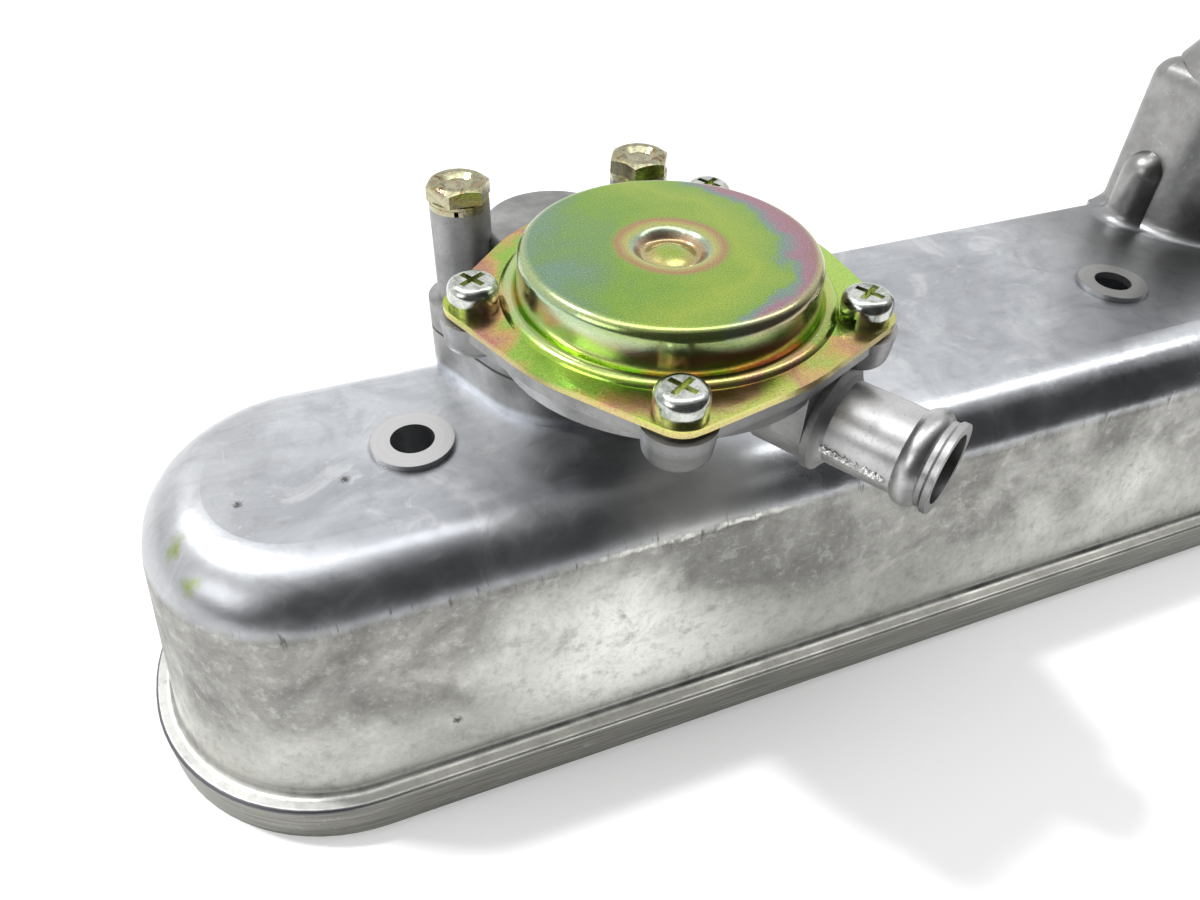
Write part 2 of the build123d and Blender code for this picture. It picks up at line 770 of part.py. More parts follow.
def filler_cap():
    """Quarter-turn oil filler cap with a fluted grip."""
    seat = neck_top_z + filler_seal_thickness
    grip = upright(filler_cap_radius, seat, seat + filler_cap_height)
    grip = fillet(grip.faces().sort_by(Axis.Z)[-1].edges(), filler_cap_edge_radius)
    flute_circle = filler_cap_radius + flute_radius - flute_depth
    for index in range(filler_flutes):
        turn = Rot(0, 0, index * 360 / filler_flutes)
        grip -= turn * upright(flute_radius, seat + 3, seat + filler_cap_height + 1, flute_circle, 0)
    skirt_bottom = neck_top_z - filler_cap_skirt
    skirt = upright(filler_cap_radius - flute_depth, skirt_bottom, seat + 1)
    skirt -= upright(neck_radius + skirt_clearance, skirt_bottom, seat)
    lug_top = neck_top_z - lip_thickness - lug_clearance
    lug_bottom = lug_top - lug_thickness
    plug_radius = lip_bore_radius - cap_plug_clearance
    plug = upright(plug_radius, lug_bottom, seat + 1)
    cap = Pos(tower_x, tower_y, 0) * (grip + skirt + plug)
    for heading in (0, 180):
        cap += sector(throat_radius - cap_plug_clearance, heading, lug_angle, lug_bottom, lug_top)
    return cap


def filler_seal():
    """Flat rubber ring between the neck and the filler cap."""
    top = neck_top_z + filler_seal_thickness
    ring = upright(neck_radius, neck_top_z, top, tower_x, tower_y)
    return ring - upright(lip_bore_radius, neck_top_z, top, tower_x, tower_y)


nodes = {
    "rocker_cover": rocker_cover(),
    "cover_gasket": cover_gasket(),
    "baffle_plate": baffle_plate(),
    "baffle_screws": baffle_screws(),
    "breather_gasket": breather_gasket(),
    "breather_body": breather_body(),
    "diaphragm": diaphragm(),
    "valve_plate": valve_plate(),
    "diaphragm_spring": diaphragm_spring(),
    "breather_cap": breather_cap(),
    "filler_cap": filler_cap(),
    "filler_seal": filler_seal(),
}
for number, (screw_x, screw_y) in enumerate(screw_spots, start=1):
    washer_z = breather_face_z + plate_thickness
    nodes[f"cap_screw_{number}"] = cap_screw(screw_x, screw_y)
    nodes[f"cap_lock_washer_{number}"] = split_washer(
        lock_washer_radius, cap_screw_radius, lock_washer_thickness, washer_z, screw_x, screw_y, 70 * number
    )
for number, (bolt_x, bolt_y) in enumerate(breather_bolt_spots, start=1):
    nodes[f"breather_bolt_{number}"] = breather_bolt(bolt_x, bolt_y)
    nodes[f"bolt_lock_washer_{number}"] = split_washer(
        bolt_washer_radius, breather_bolt_radius, bolt_washer_thickness, bolt_boss_top_z, bolt_x, bolt_y, 200 + 50 * number
    )

os.makedirs("parts", exist_ok=True)
for name, shape in nodes.items():
    export_step(shape, f"parts/{name}.step")
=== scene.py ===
import math

import bpy
from mathutils import Matrix, Vector


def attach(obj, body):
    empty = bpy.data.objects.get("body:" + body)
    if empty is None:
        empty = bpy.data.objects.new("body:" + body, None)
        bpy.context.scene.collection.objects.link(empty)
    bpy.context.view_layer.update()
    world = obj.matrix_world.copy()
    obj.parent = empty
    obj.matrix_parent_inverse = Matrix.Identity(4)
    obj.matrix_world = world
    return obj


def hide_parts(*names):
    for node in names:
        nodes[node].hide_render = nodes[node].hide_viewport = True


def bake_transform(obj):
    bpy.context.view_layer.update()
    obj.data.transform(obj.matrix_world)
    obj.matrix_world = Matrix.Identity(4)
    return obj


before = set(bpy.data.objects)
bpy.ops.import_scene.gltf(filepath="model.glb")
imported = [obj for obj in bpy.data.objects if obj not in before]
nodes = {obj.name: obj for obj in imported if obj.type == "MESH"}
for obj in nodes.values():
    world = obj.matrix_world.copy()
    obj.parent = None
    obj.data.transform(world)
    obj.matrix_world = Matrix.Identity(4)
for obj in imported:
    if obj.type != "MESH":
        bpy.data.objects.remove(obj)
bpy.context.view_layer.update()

# ---------------------------------------------------------------- places and sizes, metres
MM = 0.001
CAP_CENTRE = (-51.94 * MM, -17.84 * MM)
FLOOR_Z = -75.5 * MM
BOLT_SEATS_X = (-106 * MM, 106 * MM)
SEAT_RADIUS = 9.8 * MM
ROOF_Z = -1.5 * MM
CREASE_Z = -13.4 * MM
EDGE_WANDER = 3.5 * MM
BAY_LEFT_X = -84 * MM
BAY_CREASE_RISE = 9.5 * MM
FLANGE_TOP_Z = -64.0 * MM
WALL_FRONT_Y = -43.4 * MM
# bright patches on the front wall: place along it, height, reach, strength
WALL_BRIGHT_PATCHES = (
    (-72 * MM, -50 * MM, 33 * MM, 1.0),
    (-44 * MM, -54 * MM, 22 * MM, 0.75),
    (92 * MM, -40 * MM, 17 * MM, 0.55),
    (58 * MM, -44 * MM, 12 * MM, 0.35),
    (-60 * MM, -26 * MM, 10 * MM, 0.35),
)
PAINT_MARKS = ((-158.5 * MM, -12 * MM, -5.5 * MM), (-159.0 * MM, -22.5 * MM, -5.5 * MM))
CASTING_NICKS = (
    (-123 * MM, -6.9 * MM, -1.5 * MM),
    (-146 * MM, -7.0 * MM, -1.5 * MM),
    (-110.8 * MM, -43.7 * MM, -50.6 * MM),
)
TOWER_DARK_PATCH = (148 * MM, 27 * MM)
SHOULDER_UNDER_SPIGOT = (-48 * MM, -40 * MM, -4 * MM)
SCREW_CIRCLE = 40.0 * MM
SCREW_ANGLES = (168.5, 248.7, 326.0, 412.0)
SCREW_SPOTS = [
    (
        CAP_CENTRE[0] + SCREW_CIRCLE * math.cos(math.radians(angle)),
        CAP_CENTRE[1] + SCREW_CIRCLE * math.sin(math.radians(angle)),
    )
    for angle in SCREW_ANGLES
]
SCREW_TOP = 45.3 * MM
BOLT_TOP = 47.8 * MM
SPIGOT_HEADING = -60.0
SPIGOT_OFFSET = 9.4 * MM
SPIGOT_Z = 19.5 * MM
SPIGOT_RADIUS = 9.3 * MM
SPIGOT_BEAD_START = 57.0 * MM
FLASH_START = 40.0 * MM
FLASH_START_Z = 18.2 * MM
FLASH_END = 54.0 * MM
FLASH_END_Z = 17.6 * MM
FLASH_BURRS = 150
FLASH_HEIGHT = 1.05 * MM
FLASH_SEED = 4

CAMERA_PLACE = Vector((-126.74, -164.23, 140.29)) * MM
CAMERA_YAW = 22.53
CAMERA_PITCH = 41.67
CAMERA_ROLL = 1.754
CAMERA_LENS = 27.357
SENSOR_WIDTH = 36.0
KEY_HEADING = Vector((-0.439, 0.372, 0.818))
KEY_AIM = Vector((-45, -30, 30)) * MM
KEY_REACH = 3.0
BRIGHT_SIDE = (-0.1, 0.9, 0.35)
AIR_DUSK = (-0.25, 0.40)
AIR_DARKEST = 0.07
FLOOR_HALF = 3.0
FLOOR_LIFT = 0.15
DARK_FRONT_Y = -0.30


# ---------------------------------------------------------------- material building
class Finish:
    """One procedural material, built node by node on Object coordinates."""

    def __init__(self, name):
        self.material = bpy.data.materials.new(name)
        self.material.use_nodes = True
        self.tree = self.material.node_tree
        self.shader = self.tree.nodes["Principled BSDF"]
        self.place = self.add("ShaderNodeTexCoord").outputs["Object"]

    def add(self, kind, **settings):
        node = self.tree.nodes.new(kind)
        for key, value in settings.items():
            setattr(node, key, value)
        return node

    def feed(self, socket, value):
        if isinstance(value, bpy.types.NodeSocket):
            self.tree.links.new(value, socket)
        elif value is not None:
            socket.default_value = value

    def stretch(self, scale, turn=(0, 0, 0)):
        node = self.add("ShaderNodeMapping")
        self.feed(node.inputs["Vector"], self.place)
        node.inputs["Scale"].default_value = scale
        node.inputs["Rotation"].default_value = [math.radians(a) for a in turn]
        return node.outputs["Vector"]

    def noise(self, scale, detail=4.0, roughness=0.55, vector=None, distortion=0.0):
        node = self.add("ShaderNodeTexNoise")
        self.feed(node.inputs["Vector"], self.place if vector is None else vector)
        node.inputs["Scale"].default_value = scale
        node.inputs["Detail"].default_value = detail
        node.inputs["Roughness"].default_value = roughness
        node.inputs["Distortion"].default_value = distortion
        return node.outputs["Fac"]

    def cells(self, scale, vector=None, feature="F1"):
        node = self.add("ShaderNodeTexVoronoi", feature=feature)
        self.feed(node.inputs["Vector"], self.place if vector is None else vector)
        node.inputs["Scale"].default_value = scale
        return node.outputs["Distance"]

    def ramp(self, value, *stops):
        node = self.add("ShaderNodeValToRGB")
        self.feed(node.inputs["Fac"], value)
        band = node.color_ramp
        while len(band.elements) < len(stops):
            band.elements.new(0.5)
        for element, (position, colour) in zip(band.elements, stops):
            element.position = position
            if not isinstance(colour, (tuple, list)):
                colour = (colour, colour, colour)
            element.color = (*colour, 1.0)
        return node.outputs["Color"]

    def maths(self, operation, first, second=None, clamp=False):
        node = self.add("ShaderNodeMath", operation=operation, use_clamp=clamp)
        self.feed(node.inputs[0], first)
        self.feed(node.inputs[1], second)
        return node.outputs["Value"]

    def both(self, first, second):
        """A mask that is on where both are on, or a mask held to a share."""
        return self.maths("MULTIPLY", first, second)

    def drift(self, noise, amount):
        """A wander of up to half the amount to either side."""
        return self.maths("MULTIPLY", self.maths("SUBTRACT", noise, 0.5), amount)

    def between(self, value, low, low_full, high_full, high):
        """1 between two levels, fading to 0 outside them."""
        return self.both(self.span(value, low, low_full), self.span(value, high, high_full))

    def mix(self, amount, first, second, blend="MIX"):
        node = self.add("ShaderNodeMix", data_type="RGBA", blend_type=blend)
        self.feed(node.inputs["Factor"], amount)
        self.feed(node.inputs[6], first if isinstance(first, bpy.types.NodeSocket) else (*first, 1.0))
        self.feed(node.inputs[7], second if isinstance(second, bpy.types.NodeSocket) else (*second, 1.0))
        return node.outputs[2]

    def axis(self, name):
        node = self.add("ShaderNodeSeparateXYZ")
        self.feed(node.inputs[0], self.place)
        return node.outputs[name]

    def span(self, value, low, high, to_low=0.0, to_high=1.0):
        node = self.add("ShaderNodeMapRange", clamp=True)
        self.feed(node.inputs["Value"], value)
        node.inputs["From Min"].default_value = low
        node.inputs["From Max"].default_value = high
        node.inputs["To Min"].default_value = to_low
        node.inputs["To Max"].default_value = to_high
        return node.outputs["Result"]

    def radius_from(self, x, y):
        """Distance in plan from an upright axis."""
        dx = self.maths("SUBTRACT", self.axis("X"), x)
        dy = self.maths("SUBTRACT", self.axis("Y"), y)
        squares = self.maths("ADD", self.both(dx, dx), self.both(dy, dy))
        return self.maths("SQRT", squares)

    def blend_values(self, amount, first, second):
        """A plain value that slides from the first to the second."""
        node = self.add("ShaderNodeMix", data_type="FLOAT")
        self.feed(node.inputs["Factor"], amount)
        self.feed(node.inputs[2], first)
        self.feed(node.inputs[3], second)
        return node.outputs[0]

    def rings(self, radius):
        """Vector whose X grows with the radius, for turned marks."""
        node = self.add("ShaderNodeCombineXYZ")
        self.feed(node.inputs["X"], self.maths("MULTIPLY", radius, 2600))
        return node.outputs["Vector"]

    def spot(self, x, y, z, reach, ragged):
        """1 at a place on the piece, fading to 0 at about its reach, with a ragged edge."""
        node = self.add("ShaderNodeVectorMath", operation="DISTANCE")
        self.feed(node.inputs[0], self.place)
        node.inputs[1].default_value = (x, y, z)
        wander = self.drift(ragged, 2.4 * reach)
        return self.span(self.maths("ADD", node.outputs["Value"], wander), 0.25 * reach, reach, 1.0, 0.0)

    def bump(self, height, strength, distance, under=None):
        node = self.add("ShaderNodeBump")
        self.feed(node.inputs["Height"], height)
        self.feed(node.inputs["Strength"], strength)
        node.inputs["Distance"].default_value = distance
        self.feed(node.inputs["Normal"], under)
        return node.outputs["Normal"]

    def surface(self, colour, roughness, metallic=1.0, normal=None, **fixed):
        if not isinstance(colour, bpy.types.NodeSocket):
            colour = (*colour, 1)
        self.feed(self.shader.inputs["Base Color"], colour)
        self.feed(self.shader.inputs["Roughness"], roughness)
        self.shader.inputs["Metallic"].default_value = metallic
        self.feed(self.shader.inputs["Normal"], normal)
        for socket, value in fixed.items():
            self.shader.inputs[socket.replace("_", " ")].default_value = value
        return self.material


def worn_cover_casting():
    """Die-cast aluminium: rubbed bright on top, matt and clouded on the walls, cast round the tower."""
    f = Finish("worn_cover_casting")
    height = f.axis("Z")
    patches = f.noise(38, 5, 0.62, distortion=0.7)
    clouds = f.noise(13, 3, 0.5, distortion=0.4)
    fine = f.noise(230, 5, 0.7)
    grain = f.noise(2600, 2, 0.5)
    smears = f.noise(1, 4, 0.6, vector=f.stretch((26, 200, 70), turn=(0, 12, 8)))
    upright_ticks = f.noise(1, 3, 0.6, vector=f.stretch((900, 500, 55)))

    # the matt wall: warm grey, clouded, with a few bright patches, and paler low down as a painted floor
    # reflection
    wall = f.mix(f.span(clouds, 0.34, 0.66), (0.205, 0.202, 0.184), (0.375, 0.372, 0.348))
    wall = f.mix(f.span(patches, 0.40, 0.68, 0, 0.70), wall, (0.60, 0.595, 0.565))
    wall = f.mix(f.span(smears, 0.46, 0.70, 0, 0.40), wall, (0.20, 0.20, 0.195))
    # painted reflection: the wall paler towards the bottom, standing in for the floor seen in it
    wall = f.mix(f.span(height, -38 * MM, -60 * MM, 0, 0.66), wall, (0.86, 0.86, 0.81))
    mottle = f.noise(110, 6, 0.72, distortion=0.5)
    # a few near-white patches on the front wall
    for patch_x, patch_z, reach, strength in WALL_BRIGHT_PATCHES:
        bright_patch = f.spot(patch_x, WALL_FRONT_Y, patch_z, reach, clouds)
        bright_patch = f.both(bright_patch, f.span(mottle, 0.34, 0.52, 0.35, 1.0))
        wall = f.mix(f.both(bright_patch, strength), wall, (0.97, 0.975, 0.92))
    wall = f.mix(f.span(mottle, 0.50, 0.68, 0, 0.30), wall, (0.19, 0.187, 0.172))
    wall = f.mix(f.span(fine, 0.53, 0.70, 0, 0.36), wall, (0.15, 0.147, 0.132))
    wall = f.mix(f.span(fine, 0.45, 0.36, 0, 0.30), wall, (0.72, 0.715, 0.69))

    crisp = f.noise(620, 6, 0.8)
    wall = f.mix(f.span(crisp, 0.53, 0.66, 0, 0.20), wall, (0.14, 0.137, 0.122))
    wall = f.mix(f.span(crisp, 0.46, 0.34, 0, 0.15), wall, (0.90, 0.90, 0.86))

    # the polished roof and shoulder: cooler, smudged, finely scratched
    roof = f.mix(f.span(clouds, 0.36, 0.64), (0.40, 0.413, 0.44), (0.60, 0.618, 0.65))
    roof = f.mix(f.span(patches, 0.45, 0.72, 0, 0.55), roof, (0.70, 0.718, 0.745))
    roof = f.mix(f.span(smears, 0.52, 0.74, 0, 0.30), roof, (0.28, 0.285, 0.30))
    blotches = f.noise(62, 4, 0.6, distortion=1.2)
    roof = f.mix(f.span(blotches, 0.52, 0.66, 0, 0.34), roof, (0.30, 0.31, 0.335))
    roof = f.mix(f.span(blotches, 0.46, 0.34, 0, 0.40), roof, (0.78, 0.79, 0.81))
    chalk = f.noise(150, 6, 0.8, distortion=1.5)
    roof = f.mix(f.span(chalk, 0.62, 0.68, 0, 0.30), roof, (0.86, 0.87, 0.88))
    roof = f.mix(f.span(fine, 0.55, 0.70, 0, 0.22), roof, (0.20, 0.20, 0.205))
    # painted shade: the roof darker towards its left end
    roof = f.mix(f.span(f.axis("X"), -120 * MM, -175 * MM, 0.0, 0.45), roof, (0.34, 0.34, 0.335))
    # a darker patch on the roof near the tower
    roof_dark_near_tower = f.span(f.radius_from(*TOWER_DARK_PATCH), 28 * MM, 60 * MM, 0.72, 0.0)
    roof = f.mix(roof_dark_near_tower, roof, (0.20, 0.20, 0.20))

    # painted highlight: a bright patch on the shoulder under the spigot, standing in for bright reflections
    # there; it is also made rougher
    shoulder_highlight_patch = f.spot(*SHOULDER_UNDER_SPIGOT, 24 * MM, clouds)
    roof = f.mix(f.both(shoulder_highlight_patch, 0.85), roof, (0.90, 0.905, 0.85))

    edge_wander = f.drift(f.noise(170, 4, 0.7), EDGE_WANDER)
    across_bay = f.span(f.axis("X"), BAY_LEFT_X - 2 * MM, BAY_LEFT_X + 2 * MM)
    on_bay = f.both(across_bay, f.span(f.axis("Y"), 40 * MM, 45 * MM))
    rubbed_to = f.maths("ADD", height, edge_wander)
    rubbed_to = f.maths("SUBTRACT", rubbed_to, f.both(on_bay, BAY_CREASE_RISE))
    crease = f.span(rubbed_to, CREASE_Z - 1.2 * MM, CREASE_Z + 1.2 * MM)
    colour = f.mix(crease, wall, roof)
    # painted highlight: a bright broken line along the crease near the spigot
    crease_highlight = f.between(rubbed_to, -14.9 * MM, -14.2 * MM, -13.6 * MM, -12.9 * MM)
    near_spigot = f.between(f.axis("X"), -84 * MM, -62 * MM, -34 * MM, -18 * MM)
    crease_highlight = f.both(crease_highlight, f.both(near_spigot, f.span(fine, 0.40, 0.56)))
    colour = f.mix(crease_highlight, colour, (1.0, 1.0, 0.93))
    roof_roughness = f.span(f.axis("X"), -120 * MM, 60 * MM, 0.31, 0.18)
    roof_roughness = f.maths("ADD", roof_roughness, f.span(patches, 0.35, 0.7, -0.03, 0.12))
    roof_roughness = f.maths("ADD", roof_roughness, f.both(shoulder_highlight_patch, 0.22))
    flat_roof = f.span(height, ROOF_Z - 0.7 * MM, ROOF_Z - 0.1 * MM)
    roof_roughness = f.blend_values(flat_roof, roof_roughness, 0.36)
    wall_roughness = f.span(patches, 0.35, 0.7, 0.52, 0.36)
    roughness = f.blend_values(crease, wall_roughness, roof_roughness)

    # short dark ticks and dirt caught just above the crease
    tick_band = f.between(height, -17 * MM, -14 * MM, -12.5 * MM, -10.5 * MM)
    ticks = f.both(f.span(upright_ticks, 0.62, 0.69), tick_band)
    colour = f.mix(f.both(ticks, 0.6), colour, (0.06, 0.06, 0.06))

    # as-cast skin on the tower, the neck and the pedestal, machined rings on the bolt seats
    skin = f.mix(f.span(f.noise(120, 5, 0.7), 0.35, 0.65), (0.245, 0.243, 0.238), (0.345, 0.343, 0.335))
    raised = f.span(height, 0.2 * MM, 1.8 * MM)
    colour = f.mix(raised, colour, skin)
    roughness = f.blend_values(raised, roughness, f.span(patches, 0.35, 0.7, 0.30, 0.40))
    seat_distance = f.maths("MINIMUM", f.radius_from(BOLT_SEATS_X[0], 0), f.radius_from(BOLT_SEATS_X[1], 0))
    inside_seat = f.span(seat_distance, SEAT_RADIUS + 0.1 * MM, SEAT_RADIUS - 0.1 * MM)
    seat = f.both(inside_seat, f.span(height, ROOF_Z + 0.2 * MM, ROOF_Z + 0.4 * MM))
    tool_marks = f.noise(1, 2, 0.5, vector=f.rings(seat_distance))
    turned_face = f.mix(tool_marks, (0.50, 0.50, 0.50), (0.72, 0.72, 0.72))
    colour = f.mix(seat, colour, turned_face)
    roughness = f.blend_values(seat, roughness, 0.30)
    past_seat = f.maths("SUBTRACT", seat_distance, SEAT_RADIUS)
    seat_rim = f.between(past_seat, -0.2 * MM, 0.1 * MM, 0.2 * MM, 1.0 * MM)
    colour = f.mix(f.both(seat_rim, 0.45), colour, (0.14, 0.14, 0.14))

    # the flange: painted shade in its foot groove, a painted highlight along the lip and a dark brushed side
    groove = f.between(height, FLANGE_TOP_Z + 0.05 * MM, FLANGE_TOP_Z + 0.3 * MM, -63.3 * MM, -62.4 * MM)
    # painted shade in the groove, varied in patches
    groove_shade = f.both(groove, f.span(patches, 0.35, 0.65, 0.15, 0.75))
    colour = f.mix(groove_shade, colour, (0.08, 0.08, 0.085))
    lip = f.span(height, -65.6 * MM, -63.9 * MM, 1.0, 0.0)
    brushed = f.noise(1, 4, 0.65, vector=f.stretch((40, 40, 1500)))
    side = f.mix(f.span(brushed, 0.35, 0.65), (0.16, 0.159, 0.142), (0.33, 0.327, 0.296))
    # painted highlight along the lip, turning to painted shade towards the left end
    lip_highlight = f.mix(f.span(patches, 0.35, 0.65), (0.42, 0.417, 0.38), (0.86, 0.852, 0.79))
    lip_highlight = f.mix(f.span(f.axis("X"), -118 * MM, -142 * MM, 0, 0.95), lip_highlight, (0.115, 0.12, 0.135))
    side = f.mix(f.span(height, -65.3 * MM, -64.5 * MM), side, lip_highlight)
    below_groove = f.span(height, FLANGE_TOP_Z + 0.1 * MM, FLANGE_TOP_Z - 0.1 * MM)
    colour = f.mix(below_groove, colour, side)
    roughness = f.blend_values(lip, roughness, 0.38)

    for mark in PAINT_MARKS:
        spot = f.spot(*mark, 3.4 * MM, fine)
        colour = f.mix(f.both(spot, 0.9), colour, (0.26, 0.33, 0.05))
    for nick in CASTING_NICKS:
        spot = f.spot(*nick, 1.3 * MM, grain)
        colour = f.mix(f.both(spot, 0.85), colour, (0.05, 0.04, 0.03))

    # short fine scratches, strongest where the roof is rubbed
    scratches = f.span(f.noise(1, 3, 0.6, vector=f.stretch((90, 2200, 500), turn=(0, 0, 24))), 0.66, 0.70)
    crossed = f.span(f.noise(1, 3, 0.6, vector=f.stretch((2000, 110, 400), turn=(0, 0, 51))), 0.67, 0.71)
    scratches = f.both(f.maths("MAXIMUM", scratches, crossed), f.span(clouds, 0.45, 0.6))
    colour = f.mix(f.both(scratches, 0.22), colour, (0.85, 0.85, 0.86))
    relief = f.bump(patches, 0.22, 0.7 * MM)
    relief = f.bump(fine, f.blend_values(crease, 0.30, 0.07), 0.15 * MM, relief)
    relief = f.bump(grain, 0.07, 0.05 * MM, relief)
    relief = f.bump(scratches, 0.15, 0.03 * MM, relief)
    return f.surface(colour, roughness, normal=relief)


def fine_breather_casting():
    """As-cast aluminium with a fine blasted skin, rubbed brighter on the spigot."""
    f = Finish("fine_breather_casting")
    patches = f.noise(85, 5, 0.65)
    grain = f.noise(1500, 3, 0.65)
    stains = f.noise(30, 3, 0.5, distortion=0.5)
    colour = f.mix(f.span(patches, 0.35, 0.66), (0.25, 0.25, 0.247), (0.44, 0.44, 0.437))
    colour = f.mix(f.span(stains, 0.5, 0.7, 0, 0.5), colour, (0.15, 0.15, 0.148))
    ahead_of_bowl = f.span(f.axis("Y"), -46 * MM, -54 * MM)
    under = f.both(f.span(f.axis("Z"), 36 * MM, 34 * MM), ahead_of_bowl)
    left_of_spigot = f.span(f.axis("X"), -28 * MM, -34 * MM)
    shaded = f.both(f.both(under, left_of_spigot), 0.6)
    colour = f.mix(shaded, colour, (0.10, 0.10, 0.098))
    right_of_bowl = f.span(f.axis("X"), -34 * MM, -28 * MM)
    spigot = f.both(f.span(f.axis("Y"), -46 * MM, -53 * MM), right_of_bowl)
    spigot_colour = f.mix(f.span(patches, 0.35, 0.66), (0.42, 0.42, 0.42), (0.62, 0.62, 0.62))
    heading = math.radians(SPIGOT_HEADING)
    across = f.maths("SUBTRACT", f.axis("X"), CAP_CENTRE[0])
    along = f.maths("SUBTRACT", f.axis("Y"), CAP_CENTRE[1])
    ahead = f.maths("ADD", f.both(across, math.cos(heading)), f.both(along, math.sin(heading)))
    past_bead = f.span(ahead, SPIGOT_BEAD_START, SPIGOT_BEAD_START + 2 * MM)
    # painted shade on the lower side of the spigot past its bead
    spigot_underside_shade = f.both(past_bead, f.span(f.axis("Z"), 24 * MM, 19 * MM))
    spigot_colour = f.mix(f.both(spigot_underside_shade, 0.75), spigot_colour, (0.12, 0.12, 0.118))
    colour = f.mix(spigot, colour, spigot_colour)
    colour = f.mix(f.span(grain, 0.58, 0.70, 0, 0.4), colour, (0.14, 0.14, 0.14))
    roughness = f.blend_values(spigot, f.ramp(patches, (0.3, 0.42), (0.7, 0.54)), 0.34)
    relief = f.bump(patches, 0.15, 0.3 * MM)
    relief = f.bump(grain, 0.30, 0.10 * MM, relief)
    return f.surface(colour, roughness, normal=relief)


def yellow_zinc():
    """Yellow passivated zinc: green on the crown, rose and blue-grey at its rim, gold on the plate."""
    f = Finish("yellow_zinc")
    swirl = f.noise(30, 3, 0.5, distortion=1.0)
    ragged = f.noise(120, 4, 0.6)
    fine = f.noise(3000, 3, 0.6)
    radius = f.radius_from(*CAP_CENTRE)
    height = f.axis("Z")
    across = f.maths("SUBTRACT", f.axis("X"), CAP_CENTRE[0])
    along = f.maths("SUBTRACT", f.axis("Y"), CAP_CENTRE[1])
    # 0 on the left edge of the crown, 1 on the right one
    side = f.span(f.maths("SUBTRACT", across, f.both(along, 0.25)), -31 * MM, 31 * MM)
    rim = f.span(radius, 17 * MM, 31 * MM)
    wave = f.both(side, 0.55)
    wave = f.maths("ADD", wave, f.both(f.both(rim, side), 0.40))
    wave = f.maths("ADD", wave, f.drift(swirl, 0.62))
    wave = f.maths("ADD", wave, f.drift(ragged, 0.20))
    crown = f.ramp(
        wave,
        (0.02, (0.21, 0.33, 0.28)),
        (0.12, (0.20, 0.34, 0.15)),
        (0.26, (0.23, 0.40, 0.06)),
        (0.42, (0.36, 0.48, 0.07)),
        (0.58, (0.26, 0.42, 0.08)),
        (0.63, (0.22, 0.32, 0.29)),
        (0.70, (0.40, 0.22, 0.29)),
        (0.90, (0.38, 0.20, 0.19)),
    )
    wall_wave = f.maths("ADD", f.span(height, 40.6 * MM, 50 * MM, 0, 0.7), f.both(swirl, 0.5))
    wall = f.ramp(
        wall_wave,
        (0.22, (0.60, 0.55, 0.26)),
        (0.32, (0.34, 0.24, 0.15)),
        (0.44, (0.34, 0.42, 0.09)),
        (0.56, (0.40, 0.20, 0.17)),
        (0.68, (0.26, 0.34, 0.14)),
        (0.84, (0.46, 0.55, 0.20)),
    )
    plate_wave = f.maths("ADD", f.both(swirl, 0.9), f.span(radius, 33 * MM, 48 * MM, 0, 0.3))
    plate = f.ramp(
        plate_wave,
        (0.38, (0.38, 0.54, 0.07)),
        (0.49, (0.30, 0.52, 0.07)),
        (0.56, (0.62, 0.40, 0.14)),
        (0.63, (0.54, 0.24, 0.18)),
        (0.72, (0.46, 0.58, 0.08)),
        (0.86, (0.66, 0.56, 0.18)),
    )
    dimple_wave = f.maths("ADD", f.span(radius, 0, 13 * MM), f.drift(ragged, 0.15))
    dimple = f.ramp(
        dimple_wave,
        (0.20, (0.36, 0.46, 0.09)),
        (0.36, (0.52, 0.30, 0.10)),
        (0.48, (0.58, 0.18, 0.18)),
        (0.58, (0.34, 0.44, 0.34)),
        (0.68, (0.52, 0.52, 0.16)),
        (0.82, (0.46, 0.26, 0.14)),
        (0.95, (0.28, 0.43, 0.07)),
    )
    crown = f.mix(f.span(radius, 13.0 * MM, 11.2 * MM), crown, dimple)
    # painted reflection: the cup wall paler and greener on its left side
    wall = f.mix(f.span(side, 0.60, 0.05, 0, 0.70), wall, (0.74, 0.84, 0.60))
    front = f.span(along, -30 * MM, -44 * MM)
    colour = f.mix(f.span(height, 49.2 * MM, 46.6 * MM), crown, wall)
    plate = f.mix(f.both(front, 0.40), plate, (0.84, 0.76, 0.30))
    plate = f.mix(f.span(across, 24 * MM, 36 * MM, 0, 0.50), plate, (0.56, 0.78, 0.18))
    colour = f.mix(f.span(height, 42.0 * MM, 40.9 * MM), colour, plate)
    near_rim = f.span(radius, 28.6 * MM, 29.8 * MM)
    crown_edge = f.both(near_rim, f.span(height, 48.2 * MM, 49.3 * MM))
    colour = f.mix(f.both(crown_edge, 0.60), colour, (0.56, 0.63, 0.26))
    cut_edge = f.span(height, 39.9 * MM, 39.5 * MM)
    colour = f.mix(f.both(cut_edge, 0.8), colour, (0.62, 0.50, 0.22))
    pits = f.span(f.cells(900), 0.30, 0.16)
    colour = f.mix(f.both(f.span(fine, 0.55, 0.68), 0.46), colour, (0.60, 0.66, 0.46))
    colour = f.mix(f.both(f.span(fine, 0.45, 0.34), 0.40), colour, (0.10, 0.15, 0.06))
    relief = f.bump(pits, 0.10, 0.04 * MM)
    relief = f.bump(fine, 0.08, 0.03 * MM, relief)
    return f.surface(colour, f.span(ragged, 0.3, 0.7, 0.16, 0.25), normal=relief)


